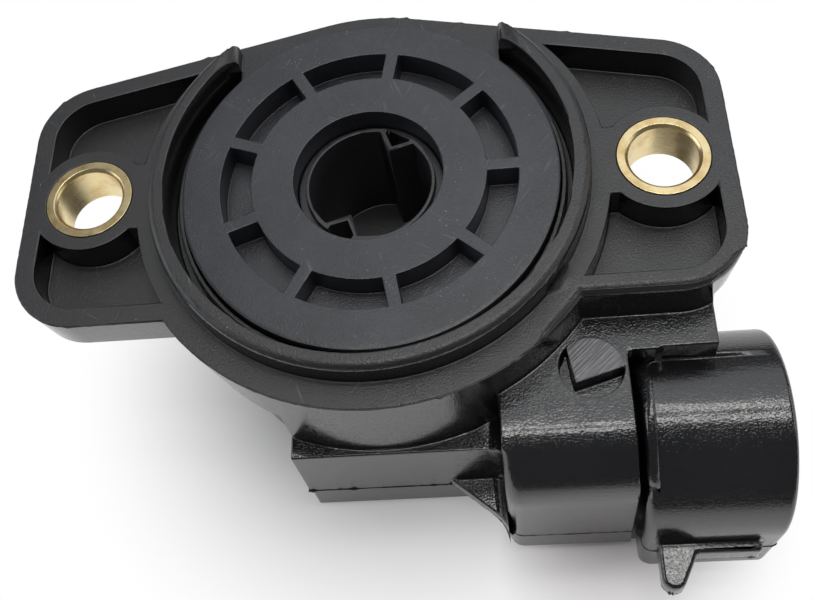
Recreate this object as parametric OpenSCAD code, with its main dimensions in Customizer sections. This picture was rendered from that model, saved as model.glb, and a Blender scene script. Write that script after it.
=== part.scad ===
// Rotary position sensor with a two-hole mounting flange, a sprung rotor
// and a side-facing three-pin connector. Millimetres, +Z out of the
// mounting face, +X towards the connector mouth, origin on the rotor axis.

/* [Mounting] */
// Distance between the two mounting holes
hole_pitch = 46; // [45:0.5:50]
// Bore of each metal compression limiter
hole_d = 5.4; // [4.6:0.1:5.8]
// Wall of each compression limiter
limiter_wall = 0.87; // [0.6:0.05:1.1]
// Thickness of the mounting flange
flange_t = 4.2; // [3.8:0.1:5]
// Corner radius of each ear
ear_r = 5.3; // [4.8:0.1:5.8]
// Half distance between the corner centres of an ear
ear_half = 6.2; // [5.6:0.1:6.6]
// Plastic round each limiter
boss_wall = 1.2; // [0.8:0.1:1.6]
// Rim left round the weight-saving pockets
pocket_rim = 1.6; // [1.2:0.1:2]
// Depth of the weight-saving pockets
pocket_depth = 2.9; // [1:0.1:3.2]

/* [Register collar] */
// Outer radius of the round lower half of the flange
flange_r = 19.5; // [18.8:0.1:20.5]
// Outer radius of the raised collar
collar_r = 17.4; // [17:0.1:18]
// Wall of the raised collar
collar_wall = 1.3; // [0.9:0.1:1.5]
// Height of the raised collar
collar_h = 2.3; // [1:0.1:3]
// Half width of the gap in the collar and the groove
collar_gap = 11; // [9:0.5:12]
// Depth of the groove inside the collar
groove_depth = 2; // [0.8:0.1:2.2]
// Wall between the groove and the cover disc
groove_wall = 0.4; // [0.3:0.05:0.5]

/* [Cover disc] */
// Radius of the cover disc
disc_r = 15.04; // [14.6:0.02:15.2]
// Thickness of the cover disc
disc_t = 3.1; // [2.6:0.1:3.6]
// How far the cover disc stands above the flange
disc_rise = 0.6; // [0.2:0.1:1]
// Gap round the cover disc
disc_gap = 0.12; // [0.05:0.01:0.16]
// Outer radius of the ring of pockets
slot_r = 11.88; // [11:0.02:13]
// Inner radius of the ring of pockets
slot_in_r = 9.42; // [8:0.02:10]
// Number of spokes between the pockets
spokes = 9; // [5:1:12]
// Width of each spoke
spoke_w = 1.05; // [0.8:0.05:2]
// Depth of the pockets in the disc
slot_depth = 2.3; // [1:0.1:2.4]
// Radius of the hole for the rotor
hub_r = 5.95; // [5.6:0.01:6.3]

/* [Rotor] */
// Running clearance of the rotor in the cover disc and in its foot bearing
run_gap = 0.07; // [0.02:0.01:0.1]
// Depth of the rotor rim below the flange face
rotor_drop = 0.8; // [0.4:0.1:1.2]
// Wall of the drive socket
rotor_wall = 0.95; // [0.85:0.05:1.2]
// Thickness of the lip that stands up round the drive socket
lip_t = 0.3; // [0.25:0.05:0.4]
// Height of that lip above the rest of the rim
lip_h = 0.7; // [0.3:0.1:1]
// How far the drive keys reach into the socket
key_reach = 1.75; // [1.3:0.05:1.9]
// Width of each drive key at its root
key_w = 3.3; // [2.8:0.1:3.6]
// Thickness of the folded wall of each drive key
key_t = 0.4; // [0.3:0.05:0.5]
// Direction of the first drive key
key_angle = 62; // [50:1:80]
// Radius of the wiper plate of the rotor
plate_r = 12.9; // [12.2:0.1:13.2]
// Thickness of the wiper plate
plate_t = 1.2; // [0.9:0.1:1.5]
// Radius of the foot bearing
foot_r = 2.5; // [2:0.1:3]

/* [Return spring] */
// Wire diameter of the return spring
wire_d = 0.7; // [0.5:0.05:0.8]
// Gap between the rotor hub and the coil
coil_gap = 0.45; // [0.35:0.05:0.8]
// Number of turns of the return spring
turns = 5; // [3:1:6]

/* [Body] */
// Depth of the body below the flange face
body_depth = 20.8; // [20:0.1:21.6]
// Radius of the round housing under the flange
can_r = 16.3; // [16:0.1:16.4]
// Radius of the cavity for the rotor
cavity_r = 14; // [13.6:0.1:14.2]
// Floor under the track board
floor_t = 2.7; // [2.4:0.1:3]
// Depth of the ledge in front of the round wall
tray_z = 8.65; // [7:0.05:10]
// Front face of the terminal tray
tray_y = 19.9; // [19.6:0.05:20.4]
// Left face of the terminal tray
tray_x = 7.36; // [6:0.02:9]
// Height of the mould parting line above the back face
part_h = 4.1; // [3.4:0.1:4.6]

/* [Track board] */
// Thickness of the track board
board_t = 1; // [0.8:0.1:1.2]
// Gap round the track board
board_gap = 0.15; // [0.1:0.05:0.3]
// Hole in the middle of the track board
board_hole_r = 3.6; // [3.3:0.1:4]
// Thickness of the wiper sheet
wiper_t = 0.2; // [0.15:0.05:0.3]
// Gap between the wiper tips and the board
tip_gap = 0.25; // [0.2:0.05:0.4]

/* [Connector] */
// Where the neck barrel starts along X
neck_x = 9.1; // [8:0.1:10]
// Where the neck ends and the wider mouth barrel starts
mouth_x0 = 19.35; // [19:0.05:20.5]
// Where the mouth ends at its top
mouth_x1 = 30.5; // [30:0.1:33]
// Lean of the end face of the mouth
mouth_tilt = 4; // [0:0.5:6]
// Front face of the neck barrel
neck_y = 24.4; // [23.6:0.1:24.8]
// Front face of the mouth barrel
mouth_y = 26; // [25.2:0.1:26.6]
// Back face of the mouth barrel
mouth_back = 9.7; // [9.2:0.1:10.4]
// Step from the neck top down to the mouth top
mouth_step = 1.5; // [1:0.1:2.2]
// Front rounding of the neck barrel
neck_round = 6.6; // [5:0.1:7.5]
// Back face of the neck barrel
neck_back = 8.6; // [8:0.1:9]
// Rounding in the corner between the shelf and the neck
corner_r = 1.3; // [0.8:0.1:1.6]
// Edge rounding at the back face
foot_round = 1.2; // [0.6:0.1:1.4]
// Wall of the connector socket
socket_wall = 1.5; // [1.2:0.1:1.8]
// Depth of the connector socket
socket_depth = 10.4; // [9:0.1:11]
// Length of the locking fin
fin_l = 3.4; // [2.8:0.05:3.8]
// Width of the locking fin at its root
fin_w = 3.2; // [2.8:0.1:3.8]
// Radius of the tip of the fin
fin_tip = 0.95; // [0.7:0.05:1.2]
// Thickness of the fin and the rib
fin_t = 2; // [1.4:0.1:2.4]
// Thickness of the corner web
web_t = 1.3; // [1:0.1:1.6]
// Reach of the rib beside the fin
rib_w = 0.8; // [0.5:0.05:1.2]
// Length of the rib beside the fin
rib_l = 4.7; // [3:0.1:5.5]

/* [Terminals] */
// Spacing of the terminal blades
pitch = 2.4; // [2.2:0.1:2.6]
// Width of each terminal
blade_w = 1; // [0.8:0.05:1.2]
// Thickness of each terminal
blade_t = 0.64; // [0.5:0.02:0.8]
// Clearance of the terminals in the moulding
term_gap = 0.05; // [0.03:0.01:0.08]
// Distance of the blade tips from the mouth
blade_back = 2.6; // [1.5:0.1:4]

/* [Moulding gate] */
// Radius of the gate recess
gate_r = 2.4; // [2:0.1:2.6]
// Depth of the gate recess
gate_depth = 1.5; // [0.6:0.1:2]

/* [Hidden] */
$fn = 96;
eps = 0.01;
fit = 0.02;
hole_x = hole_pitch / 2;
limiter_r = hole_d / 2 + limiter_wall;
boss_r = limiter_r + boss_wall;
gable_r = collar_r - 1;
collar_in = collar_r - collar_wall;
seat_r = disc_r + disc_gap;
ring_r = seat_r + groove_wall;
disc_bottom = disc_rise - disc_t;
cavity_z = -(body_depth - floor_t);
board_z = cavity_z + board_t;
parting_z = part_h - body_depth;
// top of the neck, just above the underside of the flange
neck_top = 0.15 - flange_t;
// Rotor levels
journal_r = hub_r - run_gap;
socket_r = journal_r - rotor_wall;
shoulder_r = journal_r + 0.5;
shoulder_z = disc_bottom - 0.3;
plate_z = board_z + tip_gap + 2.45;
plate_top = plate_z + plate_t;
socket_z = plate_top + 1;
foot_z = -(body_depth - 0.8);
// Spring
coil_r = shoulder_r + coil_gap + wire_d / 2;
coil_z0 = plate_top + 0.4 + wire_d / 2;
coil_z1 = disc_bottom - 1.2;
tang_in = coil_r + 2.2;
tang_out = cavity_r - 0.1;
// Terminals
blade_z = -12.8;
run_z = board_z + blade_t / 2 + 0.05;
rise_x = mouth_x0 - 2.4;
socket_x = mouth_x1 - socket_depth;
mid_y = -16.3;
term_y = [mid_y - pitch, mid_y, mid_y + pitch];
term_x = [-3.4, 1, 5.4];
foot_y = -11.9;
fin_x = mouth_x0 + 1.1;
mouth_top = neck_top - mouth_step;
mouth_r = (mouth_y - mouth_back) / 2;
mouth_mid = -(mouth_y + mouth_back) / 2;

// Straight-sided outline of both ears and the middle, with its rim moved by d
module flange2d(d) {
    big = gable_r + d;
    small = ear_r + d;
    // direction square to the line that touches the middle circle and a corner
    slope = atan2(ear_half, hole_x) + acos((gable_r - ear_r) / norm([hole_x, ear_half]));
    q = [cos(slope), sin(slope)];
    circle(r = big);
    for (s = [-1, 1]) {
        for (t = [-1, 1])
            translate([s * hole_x, t * ear_half]) circle(r = small, $fn = 64);
        polygon([[0, 0], [s * big * q.x, big * q.y], [s * (hole_x + small * q.x), ear_half + small * q.y],
            [s * (hole_x + small), ear_half], [s * (hole_x + small), -ear_half], [s * hole_x, -ear_half - small],
            [0, -ear_half - small]]);
    }
}

// Flange outline with the round lower half
module flange_face() {
    flange2d(0);
    intersection() {
        circle(r = flange_r);
        translate([-flange_r, -flange_r]) square([2 * flange_r, flange_r + 4]);
    }
}

// Pockets between the collar, the boss and the rim of the ears
module pockets() {
    difference() {
        flange2d(-pocket_rim);
        circle(r = collar_r + 1.5);
        for (s = [-1, 1]) translate([s * hole_x, 0]) circle(r = boss_r);
        // web that joins the boss to the collar
        square([2 * (hole_x - boss_r / 2), 1.3 * boss_r], center = true);
    }
}

// Ring section with a rounded outer top edge
module collar_ring() {
    edge = min(0.6, collar_wall / 2);
    rotate_extrude() {
        translate([collar_in, -1]) square([collar_wall, 1 + collar_h - edge]);
        translate([collar_in, 0]) square([collar_wall - edge, collar_h]);
        translate([collar_r - edge, collar_h - edge]) circle(r = edge, $fn = 48);
    }
}

// Space behind the gap in the collar
module gap_block(z, h) {
    translate([-collar_gap, 0, z]) cube([2 * collar_gap, 30, h]);
}

// Rounded section in the YZ plane: front f, back b, top t, floor u, roundings
module section(f, b, t, u, rf, rb, ru) {
    intersection() {
        translate([f + rf, t - rf]) circle(r = rf);
        translate([f - 1, max(t - rf, u + ru)]) square([rf + 1 + eps, rf + 1]);
    }
    translate([b - rb, t - rb]) circle(r = rb);
    translate([f + ru, u + ru]) circle(r = ru, $fn = 48);
    translate([b - ru, u + ru]) circle(r = ru, $fn = 48);
    translate([f + rf, t - rf]) square([b - rb - f - rf, rf]);
    translate([f, u + ru]) square([rf + eps, t - rf - u - ru + eps]);
    translate([f + rf, u + ru]) square([b - f - rf, t - rb - u - ru]);
    translate([f + ru, u]) square([b - f - 2 * ru, ru + eps]);
}

module along_x(x0, x1) {
    translate([x0, 0, 0]) rotate([90, 0, 90]) linear_extrude(x1 - x0) children();
}

module neck_section(d) {
    section(-neck_y + d, -neck_back - d, neck_top - d, -body_depth + d, neck_round - d, 3, foot_round);
}

// Half-round top on straight sides
module mouth_section(d) {
    zc = mouth_top - mouth_r;
    intersection() {
        translate([mouth_mid, zc]) circle(r = mouth_r - d);
        translate([mouth_mid - mouth_r - 1, zc - 1]) square([2 * mouth_r + 2, mouth_r + 2]);
    }
    translate([mouth_mid - mouth_r + d, -body_depth + d]) square([2 * (mouth_r - d), zc + body_depth - d]);
}

// Terminal strip k, grown by g on every side
module strip(k, g) {
    w = blade_w + 2 * g;
    t = blade_t + 2 * g;
    x = term_x[k];
    y = term_y[k];
    // foot on the track board and its run to the row of the blade
    translate([x - w / 2, y - w / 2, run_z - t / 2]) cube([w, foot_y - y + w / 2 + g, t]);
    // run towards the connector
    translate([x - w / 2, y - w / 2, run_z - t / 2]) cube([rise_x + t / 2 - x + w / 2, w, t]);
    // riser
    translate([rise_x - t / 2, y - w / 2, run_z - t / 2]) cube([t, w, blade_z - run_z + t]);
    // blade
    translate([rise_x - t / 2, y - w / 2, blade_z - t / 2])
        cube([mouth_x1 - blade_back - rise_x + t / 2, w, t]);
}

module housing_outer() {
    // mounting flange
    translate([0, 0, -flange_t]) linear_extrude(flange_t) flange_face();
    // raised collar, left out over the gap
    difference() {
        collar_ring();
        gap_block(-2, collar_h + 3);
    }
    // round housing
    translate([0, 0, -body_depth]) cylinder(r = can_r, h = body_depth - flange_t + 1);
    // wall flush with the flange above the tray
    intersection() {
        translate([0, 0, -tray_z]) cylinder(r = flange_r - 0.03, h = tray_z - 1);
        translate([-tray_x, -tray_y, -tray_z]) cube([tray_x + neck_x + 1, tray_y, tray_z]);
    }
    // terminal tray, slightly narrower below the parting line
    translate([-tray_x, -tray_y, parting_z]) cube([tray_x + neck_x + 1, tray_y, -tray_z - parting_z]);
    translate([-tray_x + 0.15, -tray_y + 0.15, -body_depth]) cube([tray_x + neck_x + 1, tray_y, part_h + eps]);
    // neck barrel and mouth barrel
    along_x(neck_x, mouth_x0 + 1) neck_section(0);
    along_x(mouth_x0, mouth_x1 + 0.5) mouth_section(0);
    // shelf under the right ear
    translate([neck_x, -14.2, neck_top - 4]) cube([hole_x + 2.6 - neck_x, 7, 4]);
    // rounded inner corner of the shelf
    translate([0, 0, neck_top - 4]) linear_extrude(4) difference() {
        translate([mouth_x0 + 0.95, -14.15 - corner_r]) square([corner_r, corner_r]);
        translate([mouth_x0 + 1 + corner_r, -14.2 - corner_r]) circle(r = corner_r, $fn = 48);
    }
    // corner web between the tray and the neck
    translate([0, 0, parting_z]) linear_extrude(web_t)
        polygon([[neck_x - 4.6, -tray_y + 0.1], [neck_x + 0.9, -neck_y + 0.05], [neck_x + 0.9, -tray_y + 0.1]]);
    // locking fin with its slanted side, and the rib beside it
    translate([0, 0, parting_z]) linear_extrude(fin_t) {
        translate([fin_x, -mouth_y]) fin_outline();
        translate([fin_x + fin_w - 0.5, -mouth_y - rib_w]) square([rib_l, rib_w + 1]);
        translate([fin_x + fin_w - 0.5 + rib_l, -mouth_y - rib_w / 2]) circle(r = rib_w / 2, $fn = 32);
    }
}

// Fin seen from above: straight on the left, round tip, slanted on the right
module fin_outline() {
    c = [fin_tip, fin_tip - fin_l];
    root = [fin_w, -0.2];
    d = root - c;
    a = atan2(d.y, d.x) - acos(fin_tip / norm(d));
    translate(c) circle(r = fin_tip, $fn = 48);
    polygon([[0, 1], [0, c.y], c, [c.x + fin_tip * cos(a), c.y + fin_tip * sin(a)], root, [fin_w, 1]]);
}

module housing() {
    color("#3c3e41")
    difference() {
        housing_outer();
        // seat of the cover disc and the cavity below it
        translate([0, 0, disc_bottom]) cylinder(r = seat_r, h = 6);
        translate([0, 0, cavity_z]) cylinder(r = cavity_r, h = 20);
        // foot bearing of the rotor
        translate([0, 0, foot_z]) cylinder(r = foot_r + run_gap, h = 4);
        // groove inside the collar
        difference() {
            translate([0, 0, -groove_depth]) cylinder(r = collar_in, h = groove_depth + 1);
            translate([0, 0, -groove_depth - 1]) cylinder(r = ring_r, h = groove_depth + 4);
            gap_block(-groove_depth - 1, groove_depth + 3);
        }
        // the wall inside the groove is lower than the flange
        difference() {
            translate([0, 0, -0.35]) cylinder(r = ring_r + eps, h = 1);
            gap_block(-1, 3);
        }
        // weight-saving pockets and limiter bores
        translate([0, 0, -pocket_depth]) linear_extrude(pocket_depth + 1) pockets();
        for (s = [-1, 1])
            translate([s * hole_x, 0, -flange_t - 1]) cylinder(r = limiter_r + fit, h = flange_t + 2);
        // gate recess with the cut stub left standing
        translate([0.7 * hole_x, -15.5, neck_top - gate_depth])
            difference() {
                cylinder(r = gate_r, h = gate_depth + 1);
                translate([0, 0, -1]) linear_extrude(gate_depth + 3)
                    polygon([[1.1 - gate_r, -1.3], [gate_r + 1, 0.2], [gate_r + 1, gate_r + 1],
                        [0.4 - gate_r, gate_r + 1]]);
            }
        // connector socket
        along_x(socket_x, mouth_x1 + 2) mouth_section(socket_wall);
        // leaning end face of the mouth
        translate([mouth_x1, -40, mouth_top]) rotate([0, mouth_tilt, 0]) translate([0, 0, -30]) cube([8, 40, 40]);
        // channels of the terminals
        for (k = [0:2]) strip(k, term_gap);
        // cored back
        difference() {
            translate([0, 0, -body_depth - 1]) cylinder(r = can_r - 2.2, h = 1.7);
            translate([0, 0, -body_depth - 1]) cylinder(r = foot_r + 3, h = 3);
            translate([-tray_x, -tray_y, -body_depth - 1]) cube([mouth_x1 + tray_x, tray_y - neck_back + 1, 3]);
        }
    }
    // coding ribs in the socket
    color("#3c3e41")
    for (s = [-1, 1])
        translate([socket_x - 0.5, mouth_mid + s * 2.6 - 0.4, mouth_top - socket_wall - 1.7])
            cube([socket_depth - 2, 0.8, 2]);
}

module cover_disc() {
    color("#46484c")
    difference() {
        translate([0, 0, disc_bottom]) {
            cylinder(r = disc_r, h = disc_t - 0.25);
            translate([0, 0, disc_t - 0.25 - eps]) cylinder(r1 = disc_r, r2 = disc_r - 0.25, h = 0.25 + eps);
        }
        translate([0, 0, disc_bottom - 1]) cylinder(r = hub_r, h = disc_t + 2);
        // ring of pockets, with the spokes left standing
        translate([0, 0, disc_rise - slot_depth]) linear_extrude(slot_depth + 1)
            difference() {
                circle(r = slot_r);
                circle(r = slot_in_r);
                for (i = [0:spokes - 1])
                    rotate(i * 360 / spokes) translate([slot_in_r - 1, -spoke_w / 2]) square([slot_r - slot_in_r + 2, spoke_w]);
            }
    }
}

// Wedge-shaped key outline, standing on the wall of the socket
module key2d() {
    root = sqrt(pow(socket_r, 2) - pow(key_w / 2, 2)) + 0.15;
    polygon([[root, -key_w / 2], [socket_r - key_reach, 0], [root, key_w / 2], [socket_r + 0.25, 0]]);
}

// Hollow behind the key, which leaves the key a folded wall
module key_hollow() {
    root = sqrt(pow(socket_r, 2) - pow(key_w / 2, 2)) + 0.1;
    half = key_w / 2 - 1.45 * key_t;
    polygon([[socket_r - key_reach + 1.45 * key_t, 0], [root, half], [socket_r + 0.45, half],
        [socket_r + 0.45, -half], [root, -half]]);
}

module rotor() {
    color("#2a2b2e")
    difference() {
        union() {
            difference() {
                union() {
                    // journal in the cover disc, and the thicker hub under it
                    translate([0, 0, plate_z]) cylinder(r = journal_r, h = -rotor_drop - plate_z);
                    translate([0, 0, plate_z]) cylinder(r = shoulder_r, h = shoulder_z - plate_z);
                    // plate that carries the wiper
                    translate([0, 0, plate_z]) cylinder(r = plate_r, h = plate_t);
                    // foot in the bottom bearing
                    translate([0, 0, foot_z + 0.2]) cylinder(r = foot_r, h = plate_z - foot_z);
                    // peg that takes the end of the spring
                    rotate(peg_angle()) translate([tang_in - 0.6, 0, plate_top - eps]) cylinder(r = 0.6, h = 1.6, $fn = 48);
                    // stakes through the wiper
                    for (x = [2.2, 4.2]) translate([x, 8.6, plate_z - 0.7]) cylinder(r = 0.5, h = 1, $fn = 32);
                }
                translate([0, 0, socket_z]) cylinder(r = socket_r, h = 30);
                // step outside the lip
                difference() {
                    translate([0, 0, -rotor_drop - lip_h]) cylinder(r = journal_r + 1, h = lip_h + 1);
                    translate([0, 0, -rotor_drop - lip_h - 1]) cylinder(r = socket_r + lip_t, h = lip_h + 3);
                }
            }
            // two keys of the drive socket
            for (s = [0, 180])
                rotate(key_angle + s) translate([0, 0, socket_z - eps])
                    linear_extrude(-rotor_drop - socket_z) key2d();
        }
        // hollow behind each key
        for (s = [0, 180])
            rotate(key_angle + s) translate([0, 0, -rotor_drop - 3]) linear_extrude(4) key_hollow();
    }
}

// Direction of the peg: just past the lower end of the spring
function peg_angle() = 20 + asin((0.6 + wire_d / 2 + 0.3) / (tang_in - 0.6));

module wiper() {
    color("#c9a24b") {
        z = plate_z - wiper_t - 0.02;
        difference() {
            translate([0.6, 6.2, z]) cube([5, 4.8, wiper_t]);
            for (x = [2.2, 4.2]) translate([x, 8.6, z - 1]) cylinder(r = 0.55, h = 2, $fn = 32);
        }
        // four sprung fingers
        for (i = [0:3])
            translate([0, 6.2 + i * 1.3, 0]) rotate([90, 0, 0]) translate([0, 0, -0.9])
                linear_extrude(0.9)
                    polygon([[0.8, z], [0.8, z + wiper_t], [0.5, z + wiper_t], [-3.8, board_z + tip_gap + wiper_t],
                        [-4.5, board_z + tip_gap + wiper_t + 0.5], [-4.6, board_z + tip_gap + 0.5],
                        [-3.9, board_z + tip_gap], [0.5, z]]);
    }
}

// Spring path: lower tang, helix, upper tang
function helix(i, n) = let (a = 20 + 360 * turns * i / n)
    [coil_r * cos(a), coil_r * sin(a), coil_z0 + (coil_z1 - coil_z0) * i / n];
function tang_end(a, r, z) = [r * cos(a), r * sin(a), z];
function unit(v) = v / norm(v);
function path_dir(p, i) = unit(p[min(i + 1, len(p) - 1)] - p[max(i - 1, 0)]);
function ring_at(c, d, r, m) = let (u = unit(cross(d, abs(d.z) > 0.9 ? [1, 0, 0] : [0, 0, 1])), v = cross(d, u))
    [for (j = [0:m - 1]) c + r * (cos(360 * j / m) * u + sin(360 * j / m) * v)];

module sweep(p, r, m) {
    n = len(p);
    pts = [for (i = [0:n - 1]) each ring_at(p[i], path_dir(p, i), r, m)];
    sides = [for (i = [0:n - 2]) for (j = [0:m - 1])
        [i * m + j, i * m + (j + 1) % m, (i + 1) * m + (j + 1) % m, (i + 1) * m + j]];
    polyhedron(points = pts, faces = concat(sides, [[for (j = [m - 1:-1:0]) j]], [[for (j = [0:m - 1]) (n - 1) * m + j]]),
        convexity = 6);
}

module return_spring() {
    n = 20 * turns;
    color("#b9bcc0") sweep(concat([tang_end(20, tang_in, coil_z0), tang_end(20, coil_r + 0.5, coil_z0)],
        [for (i = [0:n]) helix(i, n)],
        [tang_end(20, coil_r + 0.5, coil_z1), tang_end(20, tang_out, coil_z1)]), wire_d / 2, 8);
}

module track_board() {
    color("#31543c")
    difference() {
        translate([0, 0, cavity_z]) cylinder(r = cavity_r - board_gap, h = board_t);
        translate([0, 0, cavity_z - 1]) cylinder(r = board_hole_r, h = board_t + 2);
    }
}

module terminal(k) {
    color("#c8c9c4") strip(k, 0);
}

module terminal_1() {
    terminal(0);
}

module terminal_2() {
    terminal(1);
}

module terminal_3() {
    terminal(2);
}

// Compression limiter with a small chamfer at each end of its bore
module bushing(x) {
    c = 0.25;
    color("#c9a558") translate([x, 0, -flange_t]) rotate_extrude()
        polygon([[hole_d / 2 + c, 0], [limiter_r, 0], [limiter_r, flange_t], [hole_d / 2 + c, flange_t],
            [hole_d / 2, flange_t - c], [hole_d / 2, c]]);
}

module bushing_left() {
    bushing(-hole_x);
}

module bushing_right() {
    bushing(hole_x);
}

housing();
cover_disc();
rotor();
wiper();
return_spring();
track_board();
terminal_1();
terminal_2();
terminal_3();
bushing_left();
bushing_right();
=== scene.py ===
import math
import random

import bmesh
import bpy
from mathutils import Matrix, Vector
from mathutils.bvhtree import BVHTree


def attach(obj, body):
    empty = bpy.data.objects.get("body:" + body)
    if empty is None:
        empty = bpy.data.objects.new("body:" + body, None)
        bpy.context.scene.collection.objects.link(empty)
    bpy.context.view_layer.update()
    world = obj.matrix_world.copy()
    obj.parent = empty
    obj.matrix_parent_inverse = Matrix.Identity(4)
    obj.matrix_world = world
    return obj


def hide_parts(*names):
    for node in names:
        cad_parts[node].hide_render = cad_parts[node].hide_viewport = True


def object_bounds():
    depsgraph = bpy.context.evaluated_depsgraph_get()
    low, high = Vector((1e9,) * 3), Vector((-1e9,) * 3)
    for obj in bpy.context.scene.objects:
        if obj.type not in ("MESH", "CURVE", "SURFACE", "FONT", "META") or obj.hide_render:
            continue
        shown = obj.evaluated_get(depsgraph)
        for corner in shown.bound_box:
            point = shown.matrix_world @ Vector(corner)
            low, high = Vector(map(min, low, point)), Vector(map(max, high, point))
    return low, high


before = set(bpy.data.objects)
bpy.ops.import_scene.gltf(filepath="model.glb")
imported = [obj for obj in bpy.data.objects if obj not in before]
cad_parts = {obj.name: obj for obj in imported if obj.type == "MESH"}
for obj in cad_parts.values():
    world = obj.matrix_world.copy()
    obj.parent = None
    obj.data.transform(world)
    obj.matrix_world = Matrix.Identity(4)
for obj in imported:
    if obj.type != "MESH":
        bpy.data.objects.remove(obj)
cad_low, cad_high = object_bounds()
scene = bpy.context.scene
scene.view_settings.view_transform = "Standard"

MM = 0.001

# Places and sizes on the housing, in metres
FLANGE_T = 4.2 * MM
HOLE_X = 23 * MM
BOSS_R = 4.6 * MM
CASE_R = 19.5 * MM
DRAFT = 0.5 * MM
PARTING_Z = -16.7 * MM
FLASH_Z = -0.2 * MM
NECK_X = 9.1 * MM
MOUTH_X = 19.35 * MM
MOUTH_RIM_X = 29.3 * MM
FIN_TOP_Z = -14.8 * MM
GATE = (16.1 * MM, -15.5 * MM, -4.05 * MM)
GATE_R = 2.4 * MM

# Outlines of the neck, the mouth and the collar's ends, in millimetres
MOUTH_Y = -17.85
MOUTH_MID_Z = -13.7
MOUTH_R = 8.15
GROOVE_R = 6.1
GROOVE_X = 18.85
GROOVE_START = -35
GROOVE_CORNER_Y = -14.35
NECK_Y = 24.4
NECK_TOP = -4.05
NECK_ROUND = 6.6
NECK_REAL = 5.0
COLLAR_SLOPE = ((11.0, 1.0), (11.12, 1.4), (11.35, 1.75), (11.7, 2.02), (12.15, 2.2), (12.7, 2.31))
ABOVE_ALL = 3.5

# Shading
SHARP = math.radians(32)
BUMP_DEPTH = 0.02 * MM
SCUFF_GREY = (0.2, 0.2, 0.21)
CUT_GREY = (0.34, 0.34, 0.36)


# ---------------------------------------------------------------- camera

IMAGE_W, IMAGE_H = 814, 600
SENSOR_W = 36
FOCAL_PX = 1140.4
CENTRE_PX = (385, 230)
CAMERA_AT = (10.773, -49.19, 75.278)
CAMERA_RIGHT = (0.991648, -0.006575, -0.12881)
CAMERA_DOWN = (-0.070525, -0.863818, -0.498844)
CAMERA_AHEAD = (-0.107988, 0.503761, -0.857066)


def place_camera():
    data = bpy.data.cameras.new("studio_camera")
    data.sensor_fit = "HORIZONTAL"
    data.sensor_width = SENSOR_W
    data.lens = FOCAL_PX * SENSOR_W / IMAGE_W
    data.shift_x = (IMAGE_W / 2 - CENTRE_PX[0]) / IMAGE_W
    data.shift_y = (CENTRE_PX[1] - IMAGE_H / 2) / IMAGE_W
    data.clip_start = 0.005
    data.clip_end = 20
    cam = bpy.data.objects.new("studio_camera", data)
    scene.collection.objects.link(cam)
    turn = Matrix((CAMERA_RIGHT, [-v for v in CAMERA_DOWN], [-v for v in CAMERA_AHEAD])).transposed()
    cam.matrix_world = Matrix.Translation(Vector(CAMERA_AT) * MM) @ turn.to_4x4()
    scene.camera = cam


# ---------------------------------------------------------------- node helpers

def emptied(tree):
    for n in list(tree.nodes):
        tree.nodes.remove(n)
    return tree


def node_tree(name):
    mat = bpy.data.materials.new(name)
    mat.use_nodes = True
    return mat, emptied(mat.node_tree)


def surface(name):
    """A material with its tree and its one shader."""
    mat, tree = node_tree(name)
    bsdf = tree.nodes.new("ShaderNodeBsdfPrincipled")
    out = tree.nodes.new("ShaderNodeOutputMaterial")
    tree.links.new(bsdf.outputs["BSDF"], out.inputs["Surface"])
    return mat, tree, bsdf


def object_place(tree):
    return tree.nodes.new("ShaderNodeTexCoord").outputs["Object"]


def split(tree, vector):
    node = tree.nodes.new("ShaderNodeSeparateXYZ")
    tree.links.new(vector, node.inputs[0])
    return node.outputs


def distance(tree, vector, point):
    node = tree.nodes.new("ShaderNodeVectorMath")
    node.operation = "DISTANCE"
    node.inputs[1].default_value = point
    tree.links.new(vector, node.inputs[0])
    return node.outputs["Value"]


def group_node(tree, group, vector, **values):
    node = tree.nodes.new("ShaderNodeGroup")
    node.node_tree = group
    for key, value in values.items():
        node.inputs[key.title()].default_value = value
    tree.links.new(vector, node.inputs["Vector"])
    return node.outputs


def ramp(tree, source, stops):
    """Smooth step: from-minimum, from-maximum, to-minimum, to-maximum."""
    node = tree.nodes.new("ShaderNodeMapRange")
    node.clamp = True
    node.interpolation_type = "SMOOTHSTEP"
    for key, value in zip(("From Min", "From Max", "To Min", "To Max"), stops):
        node.inputs[key].default_value = value
    tree.links.new(source, node.inputs["Value"])
    return node.outputs["Result"]


def put(tree, socket, value):
    if hasattr(value, "is_linked"):
        tree.links.new(value, socket)
    else:
        socket.default_value = (*value, 1) if isinstance(value, tuple) else value


def math_node(tree, operation, a, b=None, clamp=False):
    node = tree.nodes.new("ShaderNodeMath")
    node.operation = operation
    node.use_clamp = clamp
    for socket, value in zip(node.inputs, (a, b)):
        if value is not None:
            put(tree, socket, value)
    return node.outputs[0]


def times(tree, a, b):
    return math_node(tree, "MULTIPLY", a, b)


def plus(tree, a, b):
    return math_node(tree, "ADD", a, b)


def minus(tree, a, b):
    return math_node(tree, "SUBTRACT", a, b)


def larger(tree, a, b):
    return math_node(tree, "MAXIMUM", a, b)


def noise(tree, vector, scale, detail=2.0, rough=0.5):
    node = tree.nodes.new("ShaderNodeTexNoise")
    node.inputs["Scale"].default_value = scale
    node.inputs["Detail"].default_value = detail
    node.inputs["Roughness"].default_value = rough
    tree.links.new(vector, node.inputs["Vector"])
    return node.outputs["Fac"]


def turned(tree, vector, angle, scale):
    """Turns the pattern about Z first and stretches it along its own axes afterwards."""
    for key, value in (("Rotation", (0, 0, angle)), ("Scale", scale)):
        node = tree.nodes.new("ShaderNodeMapping")
        node.inputs[key].default_value = value
        tree.links.new(vector, node.inputs["Vector"])
        vector = node.outputs["Vector"]
    return vector


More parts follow.
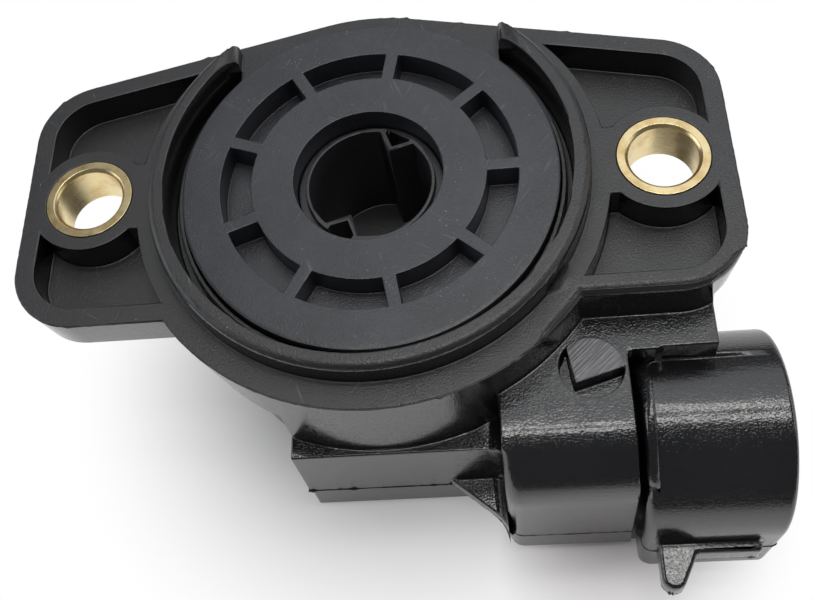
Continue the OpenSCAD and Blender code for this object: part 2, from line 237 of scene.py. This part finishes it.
def blend(tree, factor, a, b, kind="RGBA"):
    """Mix of two colours, or of two numbers when the kind is FLOAT."""
    node = tree.nodes.new("ShaderNodeMix")
    node.data_type = kind
    first, result = (6, 2) if kind == "RGBA" else (2, 0)
    for slot, value in ((0, factor), (first, a), (first + 1, b)):
        put(tree, node.inputs[slot], value)
    return node.outputs[result]


def bump_by(tree, bsdf, height, strength):
    node = tree.nodes.new("ShaderNodeBump")
    node.inputs["Strength"].default_value = strength
    node.inputs["Distance"].default_value = BUMP_DEPTH
    tree.links.new(height, node.inputs["Height"])
    tree.links.new(node.outputs["Normal"], bsdf.inputs["Normal"])


# ---------------------------------------------------------------- shared effects

def new_group(name, inputs, outputs):
    """A node group with a Vector input, more inputs as (label, default) and number outputs."""
    g = bpy.data.node_groups.new(name, "ShaderNodeTree")
    g.interface.new_socket("Vector", in_out="INPUT", socket_type="NodeSocketVector")
    for label, value in inputs:
        g.interface.new_socket(label, in_out="INPUT", socket_type="NodeSocketFloat").default_value = value
    for label in outputs:
        g.interface.new_socket(label, in_out="OUTPUT", socket_type="NodeSocketFloat")
    return g, g.nodes.new("NodeGroupInput").outputs, g.nodes.new("NodeGroupOutput").inputs


def patches(g, pattern, share, stops):
    """Where a pattern is strong enough. A larger share widens the patches."""
    return ramp(g, plus(g, pattern, times(g, share, 0.12)), stops)


def scratch_group():
    """Fine short scuffs in several directions, gathered in patches."""
    g, i, o = new_group("fine_scratches", (("Density", 0.5),), ("Mask",))
    sets = ((0.5, 420, 5200), (-0.9, 380, 4300), (2.0, 520, 6000), (1.25, 300, 3800))
    total = None
    for k, (angle, along, across) in enumerate(sets):
        lines = noise(g, turned(g, i["Vector"], angle, (along, across, 900)), 1.0, 0.0)
        cloud = noise(g, turned(g, i["Vector"], angle, (1, 1, 1)), 170 + 60 * k)
        here = patches(g, cloud, i["Density"], (0.6, 0.74, 0.0, 1.0))
        part = times(g, ramp(g, lines, (0.7, 0.8, 0.0, 1.0)), here)
        total = part if total is None else larger(g, total, part)
    g.links.new(total, o["Mask"])
    return g


def speck_group():
    """Small pale dust specks of uneven size, gathered in patches."""
    g, i, o = new_group("dust_specks", (("Amount", 0.5),), ("Mask",))
    total = None
    for scale, size in ((1100, 0.12), (2300, 0.2), (4200, 0.28)):
        cells = g.nodes.new("ShaderNodeTexVoronoi")
        cells.inputs["Scale"].default_value = scale
        g.links.new(i["Vector"], cells.inputs["Vector"])
        chance = g.nodes.new("ShaderNodeSeparateColor")
        g.links.new(cells.outputs["Color"], chance.inputs[0])
        dot = minus(g, times(g, chance.outputs[0], size), cells.outputs["Distance"])
        dot = ramp(g, dot, (0.0, size * 0.25, 0.0, 1.0))
        here = patches(g, noise(g, i["Vector"], 230, 4.0, 0.75), i["Amount"], (0.6, 0.72, 0.0, 1.0))
        part = times(g, dot, times(g, here, ramp(g, chance.outputs[1], (0.3, 0.6, 0.0, 1.0))))
        total = part if total is None else larger(g, total, part)
    g.links.new(total, o["Mask"])
    return g


def grain_group():
    """Glass-filled moulded skin: fine grain over faint orange peel, with a sparse glitter."""
    g, i, o = new_group("moulded_skin", (("Coarse", 0.5),), ("Height",))
    fine = noise(g, i["Vector"], 6500, 0.0)
    peel = noise(g, i["Vector"], 1500)
    glitter = ramp(g, noise(g, i["Vector"], 8000, 0.0), (0.5, 0.68, 0.0, 1.0))
    skin = plus(g, fine, times(g, peel, i["Coarse"]))
    g.links.new(plus(g, skin, times(g, glitter, 0.6)), o["Height"])
    return g


def cut_group():
    """Slanting knife marks on the trimmed stub in the gate recess."""
    g, i, o = new_group("knife_marks", (), ("Mask", "Lines"))
    inside = ramp(g, distance(g, i["Vector"], GATE), (GATE_R - 0.2 * MM, GATE_R + 0.05 * MM, 1.0, 0.0))
    lines = noise(g, turned(g, i["Vector"], -0.75, (300, 6500, 200)), 1.0, 2.0, 0.6)
    level = split(g, i["Vector"])["Z"]
    on_top = ramp(g, level, (GATE[2] - 0.7 * MM, GATE[2] - 0.3 * MM, 0.0, 1.0))
    g.links.new(times(g, inside, on_top), o["Mask"])
    g.links.new(ramp(g, lines, (0.3, 0.7, 0.0, 1.0)), o["Lines"])
    return g


SCRATCHES = scratch_group()
SPECKS = speck_group()
SKIN = grain_group()
KNIFE = cut_group()


# ---------------------------------------------------------------- materials

def moulded(name, dark, pale, top, wall, bump,
            scratch=0.5, specks=0.5, coarse=0.5, ior=1.8, below=None, stub=False):
    """Black moulded plastic.

    It is dull and scuffed where it looks up (roughness top) and glossy on the upright walls
    (roughness wall), and also wherever it lies under the level below. A stub gets knife marks.
    """
    mat, t, bsdf = surface(name)
    bsdf.inputs["IOR"].default_value = ior
    source = t.nodes.new("ShaderNodeTexCoord")
    coord = source.outputs["Object"]
    upward = split(t, source.outputs["Normal"])["Z"]

    polished = ramp(t, upward, (0.72, 0.3, 0.0, 1.0))
    if below is not None:
        place = split(t, coord)
        low = ramp(t, place["Z"], (below + 0.15 * MM, below - 0.1 * MM, 0.0, 1.0))
        curved = ramp(t, place["Y"], (-17.2 * MM, -18.8 * MM, 0.8, 1.0))
        polished = larger(t, polished, times(t, low, curved))
    worn_side = times(t, ramp(t, upward, (0.6, 0.95, 0.12, 1.0)), minus(t, 1.0, times(t, polished, 0.9)))

    marks = group_node(t, SCRATCHES, coord, density=scratch)["Mask"]
    dots = group_node(t, SPECKS, coord, amount=specks)["Mask"]
    skin = group_node(t, SKIN, coord, coarse=coarse)["Height"]
    wear = math_node(t, "MULTIPLY", larger(t, times(t, marks, 0.35), dots), worn_side, clamp=True)

    clouds, grains = noise(t, coord, 140, 4.0, 0.6), noise(t, coord, 2600, 3.0, 0.7)
    tone = plus(t, times(t, clouds, 0.6), times(t, grains, 0.4))
    colour = blend(t, ramp(t, tone, (0.3, 0.7, 0.0, 1.0)), dark, pale)
    colour = blend(t, wear, colour, SCUFF_GREY)

    uneven = times(t, minus(t, noise(t, coord, 500, 3.0, 0.6), 0.5), 0.14)
    rough = plus(t, blend(t, polished, top, wall, "FLOAT"), times(t, uneven, minus(t, 1.15, polished)))
    rough = plus(t, rough, times(t, wear, 0.2))

    height = times(t, skin, minus(t, 1.0, times(t, polished, 0.4)))
    height = minus(t, height, times(t, marks, 0.5))

    if stub:
        cut = group_node(t, KNIFE, coord)
        marked = times(t, cut["Mask"], ramp(t, upward, (0.6, 0.95, 0.0, 1.0)))
        colour = blend(t, times(t, marked, blend(t, cut["Lines"], 0.25, 0.75, "FLOAT")), colour, CUT_GREY)
        height = plus(t, height, times(t, times(t, cut["Lines"], marked), 2.0))
        rough = plus(t, rough, times(t, marked, 0.12))

    t.links.new(colour, bsdf.inputs["Base Color"])
    t.links.new(larger(t, rough, 0.05), bsdf.inputs["Roughness"])
    bump_by(t, bsdf, height, bump)
    return mat


def metal(name, colour, deep, rough, turned_axis=False):
    """Turned or drawn metal with fine tool lines and slight staining."""
    mat, t, bsdf = surface(name)
    coord = object_place(t)
    lines = noise(t, turned(t, coord, 0, (1, 1, 9) if turned_axis else (9, 1, 1)), 900, 3.0, 0.6)
    stain = ramp(t, noise(t, coord, 420, 4.0, 0.65), (0.42, 0.72, 0.0, 0.85))
    t.links.new(blend(t, stain, colour, deep), bsdf.inputs["Base Color"])
    bsdf.inputs["Metallic"].default_value = 1.0
    spread = math_node(t, "ADD", times(t, lines, 0.25), rough - 0.12, clamp=True)
    t.links.new(spread, bsdf.inputs["Roughness"])
    bump_by(t, bsdf, lines, 0.35)
    return mat


def laminate():
    """Board of the resistance tracks: green resin with dark printed arcs."""
    mat, t, bsdf = surface("track_board_resin")
    coord = object_place(t)
    x, y = split(t, coord)[:2]
    radius = math_node(t, "SQRT", plus(t, times(t, x, x), times(t, y, y)))
    wave = math_node(t, "SINE", times(t, radius, 2 * math.pi / (2.6 * MM)))
    track = ramp(t, wave, (0.1, 0.3, 0.0, 1.0))
    t.links.new(blend(t, track, (0.03, 0.1, 0.05), (0.015, 0.015, 0.016)), bsdf.inputs["Base Color"])
    t.links.new(plus(t, times(t, noise(t, coord, 2500), 0.3), 0.3), bsdf.inputs["Roughness"])
    return mat


# ---------------------------------------------------------------- mesh helpers

def only(obj):
    bpy.ops.object.select_all(action="DESELECT")
    obj.select_set(True)
    bpy.context.view_layer.objects.active = obj


def copy_of(source):
    only(source)
    bpy.ops.object.duplicate()
    return bpy.context.view_layer.objects.active


def cleaned_copy(node):
    """Copy of a CAD piece with its loose triangles joined into whole faces."""
    obj = copy_of(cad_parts[node])
    bpy.ops.object.mode_set(mode="EDIT")
    bpy.ops.mesh.select_all(action="SELECT")
    bpy.ops.mesh.remove_doubles(threshold=2e-6)
    bpy.ops.mesh.dissolve_degenerate(threshold=2e-6)
    bpy.ops.mesh.select_all(action="SELECT")
    bpy.ops.mesh.dissolve_limited(angle_limit=math.radians(0.4))
    bpy.ops.object.mode_set(mode="OBJECT")
    return obj


def select_corners(obj, keep_off, where):
    """Selects the sharp edges, except those near the places in keep_off. Returns how many."""
    bm = bmesh.new()
    bm.from_mesh(obj.data)
    bm.select_mode = {"EDGE"}
    for part in (bm.verts, bm.edges, bm.faces):
        for e in part:
            e.select = False
    count = 0
    for e in bm.edges:
        if len(e.link_faces) != 2 or e.calc_face_angle(0) < SHARP:
            continue
        if any((v.co - c).length < r for v in e.verts for c, r in keep_off):
            continue
        if where and not where((e.verts[0].co + e.verts[1].co) / 2, [f.normal for f in e.link_faces]):
            continue
        e.select = True
        count += 1
    bm.to_mesh(obj.data)
    bm.free()
    return count


def ease(base, width, segments=2, where=None):
    """Rounds the corners of a copy of base. Places where the rounding would stray are left sharp."""
    shape = bmesh.new()
    shape.from_mesh(base.data)
    surface_tree = BVHTree.FromBMesh(shape)
    shape.free()
    keep_off = []
    tries = 6
    for attempt in range(tries):
        obj = copy_of(base)
        if select_corners(obj, keep_off, where) == 0:
            break
        bpy.ops.object.mode_set(mode="EDIT")
        bpy.ops.mesh.select_mode(type="EDGE")
        bpy.ops.mesh.bevel(offset=width, segments=segments, profile=0.5,
                           clamp_overlap=False, loop_slide=False, affect="EDGES")
        bpy.ops.mesh.select_all(action="DESELECT")
        bpy.ops.object.mode_set(mode="OBJECT")
        strays = []
        for v in obj.data.vertices:
            gap = surface_tree.find_nearest(v.co)[3]
            if gap is not None and gap > 0.72 * width:
                strays.append((v.co.copy(), 0.6 * MM + 1.5 * gap))
        if not strays or attempt == tries - 1:
            break
        keep_off += strays
        bpy.data.objects.remove(obj)
    bpy.data.objects.remove(base)
    return obj


def prism(name, outline, start, end, along_y=False):
    """A block along X or Y between two ends, from an outline in the other two axes. All in millimetres."""
    mesh = bpy.data.meshes.new(name)
    obj = bpy.data.objects.new(name, mesh)
    scene.collection.objects.link(obj)
    bm = bmesh.new()
    rows = [[bm.verts.new(Vector((a, k, b) if along_y else (k, a, b)) * MM) for a, b in outline]
            for k in (start, end)]
    bm.faces.new(rows[0])
    bm.faces.new(rows[1])
    for k in range(len(outline)):
        n = (k + 1) % len(outline)
        bm.faces.new((rows[0][k], rows[0][n], rows[1][n], rows[1][k]))
    bmesh.ops.recalc_face_normals(bm, faces=bm.faces)
    bm.to_mesh(mesh)
    bm.free()
    return obj


def arc(radius, start, end, steps):
    """Points of an arc about the middle of the mouth, from one tilt to another, in degrees towards -Y."""
    turn = [math.radians(start + (end - start) * k / steps) for k in range(steps + 1)]
    return [(MOUTH_Y - radius * math.sin(a), MOUTH_MID_Z + radius * math.cos(a)) for a in turn]


def cut_away(obj, tool):
    only(obj)
    cut = obj.modifiers.new("cut", "BOOLEAN")
    cut.operation = "DIFFERENCE"
    cut.solver = "EXACT"
    cut.object = tool
    bpy.ops.object.modifier_apply(modifier="cut")
    bpy.data.objects.remove(tool)


def even_shading(obj):
    """Smooth shading that leaves the large faces as flat or as round as they are."""
    only(obj)
    bpy.ops.object.shade_smooth_by_angle(angle=SHARP)
    even = obj.modifiers.new("even", "WEIGHTED_NORMAL")
    even.mode = "FACE_AREA"
    even.weight = 60
    even.keep_sharp = True
    bpy.ops.object.modifier_apply(modifier="even")


# ---------------------------------------------------------------- the housing's finer forms

def draft_flange(obj):
    """Leans the outer walls of the flange in towards its back, as the mould leaves them."""
    bm = bmesh.new()
    bm.from_mesh(obj.data)
    moves = []
    for v in bm.verts:
        from_hole = min((v.co.xy - Vector((s * HOLE_X, 0))).length for s in (-1, 1))
        if abs(v.co.z + FLANGE_T) > 0.01 * MM or from_hole < BOSS_R:
            continue
        walls = [f.normal.copy() for f in v.link_faces
                 if abs(f.normal.z) < 0.05 and max(w.co.z for w in f.verts) > -0.6 * MM
                 and min(w.co.z for w in f.verts) > -FLANGE_T - 0.1 * MM]
        if not walls:
            continue
        share = 1.0
        if v.co.y < 0:
            # on the front the lean fades out where the tray and the case carry the flange
            share = min(max((-8 * MM - v.co.x) / (4 * MM), (v.co.x - 24.6 * MM) / (1.5 * MM), 0), 1)
        lean = walls[0]
        if len(walls) > 1:
            joint = sum(walls, Vector())
            lean = joint.normalized() / max(joint.length / len(walls), 0.3)
        moves.append((v, lean * -DRAFT * share))
    for v, step in moves:
        v.co += step
    bm.to_mesh(obj.data)
    bm.free()


def tighten_neck(obj):
    """Draws the round shoulder of the neck in to its real radius, up to the groove."""
    bm = bmesh.new()
    bm.from_mesh(obj.data)
    near = [f for f in bm.faces
            if f.calc_center_median().y < -14 * MM and f.calc_center_median().z < -3.9 * MM]
    parts = set(near) | {e for f in near for e in f.edges} | {v for f in near for v in f.verts}
    bmesh.ops.bisect_plane(bm, geom=list(parts), dist=1e-7, plane_co=(GROOVE_X * MM, 0, 0), plane_no=(1, 0, 0))
    was = Vector((-NECK_Y + NECK_ROUND, NECK_TOP - NECK_ROUND)) * MM
    now = Vector((-NECK_Y + NECK_REAL, NECK_TOP - NECK_REAL)) * MM
    for v in bm.verts:
        arm = v.co.yz - was
        on_neck = NECK_X - 0.01 * MM < v.co.x < (GROOVE_X + 0.01) * MM
        if not on_neck or abs(arm.length - NECK_ROUND * MM) > 0.03 * MM:
            continue
        off_gate = (v.co.xy - Vector(GATE[:2])).length > GATE_R + 0.3 * MM
        if arm.x < 0.01 * MM and arm.y > -0.01 * MM and off_gate:
            v.co.yz = now + arm.normalized() * NECK_REAL * MM
    bm.to_mesh(obj.data)
    bm.free()


def cut_neck_groove(obj):
    """The deep groove between the neck and the mouth's shell, and the step above the shell."""
    top, front, low = 1.0, -31.0, -21.5
    floor = arc(GROOVE_R, GROOVE_START, 90, 30)
    edge = floor[0][0]
    around = [(edge, top)] + floor + [(floor[-1][0], low), (front, low), (front, top)]
    deep = prism("groove", around, GROOVE_X, MOUTH_X / MM)
    over = MOUTH_R + 0.02
    shell = arc(over, -math.degrees(math.asin((edge - MOUTH_Y) / over)), -8, 8)
    step = [(shell[0][0], top)] + shell + [(shell[-1][0], top)]
    shallow = prism("groove_end", step, GROOVE_X, MOUTH_X / MM + 1.6)
    for tool in (deep, shallow):
        cut_away(obj, tool)


def slope_collar_ends(obj):
    """Rounds the tops of the collar's two ends down, at the gap."""
    inner, outer = 10.0, COLLAR_SLOPE[-1][0]
    slope = list(COLLAR_SLOPE) + [(outer, ABOVE_ALL), (inner, ABOVE_ALL), (inner, COLLAR_SLOPE[0][1])]
    for side in (-1, 1):
        cut_away(obj, prism("collar_end", [(side * x, z) for x, z in slope], 5, 18, along_y=True))


def shape_housing(obj):
    draft_flange(obj)
    tighten_neck(obj)
    cut_neck_groove(obj)
    slope_collar_ends(obj)


# Each of these says whether an edge is to be eased, from its middle and the normals of its two faces.

def off_the_seam(m, sides):
    on_seam = abs(m.z + FLANGE_T) <= 0.02 * MM and abs(math.hypot(m.x, m.y) - CASE_R) <= 0.1 * MM
    return not on_seam or m.x < -7 * MM or m.x > 10 * MM


def neck_end(m, sides):
    return abs(m.x - NECK_X) < 0.02 * MM and m.z < -4.6 * MM and m.y < -17.6 * MM


def groove_corner(m, sides):
    at_corner = abs(m.x - GROOVE_X * MM) < 0.02 * MM and abs(m.y - GROOVE_CORNER_Y * MM) < 0.03 * MM
    upright = abs(sides[0].z) + abs(sides[1].z) < 0.1
    return at_corner and upright and -8.8 * MM < m.z < -4 * MM


def mouth_end(m, sides):
    return abs(m.x - MOUTH_X) < 0.02 * MM and m.y < -12 * MM and m.z > -20.5 * MM


def mouth_rim(m, sides):
    y, z = m.y / MM - MOUTH_Y, m.z / MM - MOUTH_MID_Z
    side = math.hypot(y, z) if z > 0 else abs(y)
    return m.x > MOUTH_RIM_X and (side > 7.8 or m.z < -20.5 * MM)


def flange_front(m, sides):
    return abs(m.z) < 0.02 * MM and m.x > 13 * MM and m.y < -9 * MM and min(n.y for n in sides) < -0.3


def fin_top(m, sides):
    return abs(m.z - FIN_TOP_Z) < 0.25 * MM and m.y < -26.2 * MM


# Wider roundings of the housing, before all its other corners: width, steps and place.
HOUSING_ROUNDS = (
    (0.45 * MM, 4, groove_corner),
    (1.1 * MM, 4, neck_end),
    (0.8 * MM, 4, mouth_end),
    (0.5 * MM, 4, mouth_rim),
    (0.8 * MM, 5, flange_front),
    (0.35 * MM, 3, fin_top),
)


# ---------------------------------------------------------------- dressing

def coat(obj, material):
    obj.data.materials.clear()
    obj.data.materials.append(material)


def dressed(node, body, material, width, first=(), shaped=None, where=None):
    """A clean copy of a CAD piece with its moulded edges eased, which stands for the piece."""
    obj = cleaned_copy(node)
    if shaped:
        shaped(obj)
    for size, steps, place in first:
        obj = ease(obj, size, segments=steps, where=place)
    obj = ease(obj, width, where=where)
    obj.name = node + "_dressed"
    obj.data.name = node + "_dressed"
    even_shading(obj)
    coat(obj, material)
    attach(obj, body)
    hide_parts(node)
    return obj


def outer_loop(bm):
    """Keeps only the widest closed line of a cut through a piece, in short steps."""
    bmesh.ops.remove_doubles(bm, verts=bm.verts, dist=0.01 * MM)
    loops, seen = [], set()
    for v in bm.verts:
        if v in seen:
            continue
        loop, stack = [], [v]
        while stack:
            w = stack.pop()
            if w in seen:
                continue
            seen.add(w)
            loop.append(w)
            stack += [e.other_vert(w) for e in w.link_edges]
        loops.append(loop)
    loops.sort(key=lambda l: max(v.co.x for v in l) - min(v.co.x for v in l))
    bmesh.ops.delete(bm, geom=[v for l in loops[:-1] for v in l], context="VERTS")
    bmesh.ops.delete(bm, geom=list(bm.faces), context="FACES_ONLY")
    for e in list(bm.edges):
        cuts = int(e.calc_length() / (0.35 * MM))
        if cuts:
            bmesh.ops.subdivide_edges(bm, edges=[e], cuts=cuts)


def flash_bead(name, source, level, lump, seed, material):
    """Thin uneven line of flash that the mould left round the outside of a piece at one level."""
    obj = copy_of(source)
    bpy.ops.object.mode_set(mode="EDIT")
    bpy.ops.mesh.select_all(action="SELECT")
    bpy.ops.mesh.bisect(plane_co=(0, 0, level), plane_no=(0, 0, 1), use_fill=False,
                        clear_inner=True, clear_outer=True)
    bpy.ops.object.mode_set(mode="OBJECT")
    bm = bmesh.new()
    bm.from_mesh(obj.data)
    outer_loop(bm)
    bm.to_mesh(obj.data)
    bm.free()
    obj.data.materials.clear()
    only(obj)
    bpy.ops.object.convert(target="CURVE")
    obj = bpy.context.view_layer.objects.active
    obj.data.dimensions = "3D"
    obj.data.bevel_depth = 0.05 * MM
    obj.data.bevel_resolution = 1
    dice = random.Random(seed)
    for spline in obj.data.splines:
        swell = 0.0
        for p in spline.points:
            swell *= 0.35
            if dice.random() < 0.045:
                swell = lump * dice.uniform(0.3, 1.0)
            p.radius = dice.uniform(0.55, 1.25) + swell
    bpy.ops.object.convert(target="MESH")
    obj.name = name
    obj.data.name = name
    coat(obj, material)
    bpy.ops.object.shade_smooth_by_angle(angle=math.radians(40))
    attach(obj, "sensor_body")


def give(node, material):
    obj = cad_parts[node]
    only(obj)
    for s in obj.material_slots:
        s.material = material
    if not obj.material_slots:
        obj.data.materials.append(material)


# ---------------------------------------------------------------- stage

def glow(tree, strength):
    node = tree.nodes.new("ShaderNodeEmission")
    node.inputs["Color"].default_value = (1, 1, 1, 1)
    node.inputs["Strength"].default_value = strength
    return node.outputs[0]


def mix_shaders(tree, factor, a, b):
    node = tree.nodes.new("ShaderNodeMixShader")
    for socket, value in zip(node.inputs, (factor, a, b)):
        tree.links.new(value, socket)
    return node.outputs[0]


def table():
    """White table. It is plain white away from the object, and shows its shadow near it."""
    mat, t = node_tree("table_white")
    rays = t.nodes.new("ShaderNodeLightPath").outputs
    coord = object_place(t)

    def away_from(x, y, near, far, low_share, high_share):
        gap = distance(t, coord, (x * MM, y * MM, cad_low.z))
        return ramp(t, gap, (near * MM, far * MM, low_share, high_share))

    diffuse = t.nodes.new("ShaderNodeBsdfDiffuse")
    # painted shade: the table's own colour turns pinkish near the object's lower right, where its shadow
    # falls, to give that shadow its tint
    painted_shade_tint = away_from(15, -26, 4, 20, 1.0, 0.0)
    t.links.new(blend(t, painted_shade_tint, (0.95, 0.945, 0.95), (0.95, 0.885, 0.9)), diffuse.inputs["Color"])
    seen = larger(t, rays["Is Camera Ray"], larger(t, rays["Is Glossy Ray"], rays["Is Transmission Ray"]))
    clear = math_node(t, "MINIMUM", away_from(0, -6, 6, 32, 0.0, 1.0), away_from(17, -20, 2, 17, 0.0, 1.0))
    lit = mix_shaders(t, times(t, seen, clear), diffuse.outputs[0], glow(t, 1.0))
    # painted dark reflection: for glossy rays the table in front shows only a dim glow, standing for the dark
    # room in front of the table
    front = times(t, rays["Is Glossy Ray"], ramp(t, split(t, coord)["Y"], (-40 * MM, -95 * MM, 0.0, 1.0)))
    out = t.nodes.new("ShaderNodeOutputMaterial")
    t.links.new(mix_shaders(t, front, lit, glow(t, 0.1)), out.inputs["Surface"])
    return mat


def stage():
    bpy.ops.object.select_all(action="DESELECT")
    bpy.ops.mesh.primitive_plane_add(size=6, location=(0, 0, cad_low.z - 0.02 * MM))
    floor = bpy.context.view_layer.objects.active
    bpy.ops.object.transform_apply(location=True, rotation=True, scale=True)
    floor.name = "table_top"
    floor.data.materials.append(table())

    world = bpy.data.worlds.new("studio")
    scene.world = world
    world.use_nodes = True
    w = emptied(world.node_tree)
    skies = []
    for colour, strength in (((0.93, 0.95, 1.0, 1), 0.14), ((1, 1, 1, 1), 1.0)):
        sky = w.nodes.new("ShaderNodeBackground")
        sky.inputs["Color"].default_value = colour
        sky.inputs["Strength"].default_value = strength
        skies.append(sky.outputs[0])
    camera_ray = w.nodes.new("ShaderNodeLightPath").outputs["Is Camera Ray"]
    out = w.nodes.new("ShaderNodeOutputWorld")
    w.links.new(mix_shaders(w, camera_ray, *skies), out.inputs["Surface"])


# name, place, target, size (all in metres), power in watts and colour
WARM, COOL = (1.0, 0.99, 0.97), (0.95, 0.97, 1.0)
LAMPS = (
    ("overhead_tube_back", (0.07, 0.094, 0.6), (0.07, 0.0, 0), (0.42, 0.06), 0.5, WARM),
    ("overhead_tube_front", (0.07, -0.035, 0.6), (0.07, 0.0, 0), (0.42, 0.06), 0.5, WARM),
    ("back_panel", (0.2, 0.42, 0.62), (0.2, 0, 0), (0.85, 0.62), 1.5, COOL),
    ("left_panel", (-0.7, 0.05, 0.35), (0, 0, 0), (0.5, 0.4), 1.3, COOL),
    ("right_panel", (0.75, 0.1, 0.3), (0, 0, 0), (0.5, 0.3), 0.7, WARM),
)


def lights():
    for name, place, target, size, power, colour in LAMPS:
        data = bpy.data.lights.new(name, "AREA")
        data.shape = "RECTANGLE"
        data.size, data.size_y = size
        data.energy = power
        data.color = colour
        lamp = bpy.data.objects.new(name, data)
        scene.collection.objects.link(lamp)
        lamp.location = place
        lamp.rotation_euler = (Vector(target) - Vector(place)).to_track_quat("-Z", "Y").to_euler()


# ---------------------------------------------------------------- the scene

place_camera()
stage()
lights()

BODY = moulded("housing_plastic", (0.006, 0.006, 0.007), (0.014, 0.014, 0.0155), 0.44, 0.12, 0.72,
               scratch=0.25, coarse=0.15, below=-3.9 * MM, stub=True)
DISC = moulded("disc_plastic", (0.02, 0.0215, 0.027), (0.046, 0.048, 0.058), 0.37, 0.3, 0.5,
               scratch=0.45, specks=1.0, ior=1.68)
ROTOR = moulded("rotor_plastic", (0.03, 0.03, 0.034), (0.05, 0.05, 0.054), 0.36, 0.3, 0.4,
                scratch=0.2, specks=0.2, ior=1.6)
BRASS = metal("limiter_brass", (0.86, 0.71, 0.4), (0.6, 0.42, 0.17), 0.3, turned_axis=True)
STEEL = metal("spring_steel", (0.52, 0.52, 0.54), (0.3, 0.3, 0.31), 0.3)
CONTACT = metal("contact_alloy", (0.75, 0.58, 0.3), (0.45, 0.3, 0.12), 0.3)
TIN = metal("terminal_tin", (0.68, 0.67, 0.64), (0.42, 0.41, 0.39), 0.34)
BOARD = laminate()

housing = dressed("housing", "sensor_body", BODY, 0.16 * MM,
                  first=HOUSING_ROUNDS, shaped=shape_housing, where=off_the_seam)
flash_bead("parting_flash", housing, PARTING_Z, 3.0, 7, BODY)
flash_bead("flange_flash", housing, FLASH_Z, 3.2, 19, BODY)
dressed("cover_disc", "sensor_body", DISC, 0.1 * MM)
dressed("rotor", "rotor_body", ROTOR, 0.1 * MM)
for side in ("bushing_left", "bushing_right"):
    dressed(side, "sensor_body", BRASS, 0.05 * MM)
give("return_spring", STEEL)
give("wiper", CONTACT)
give("track_board", BOARD)
for k in (1, 2, 3):
    give("terminal_%d" % k, TIN)
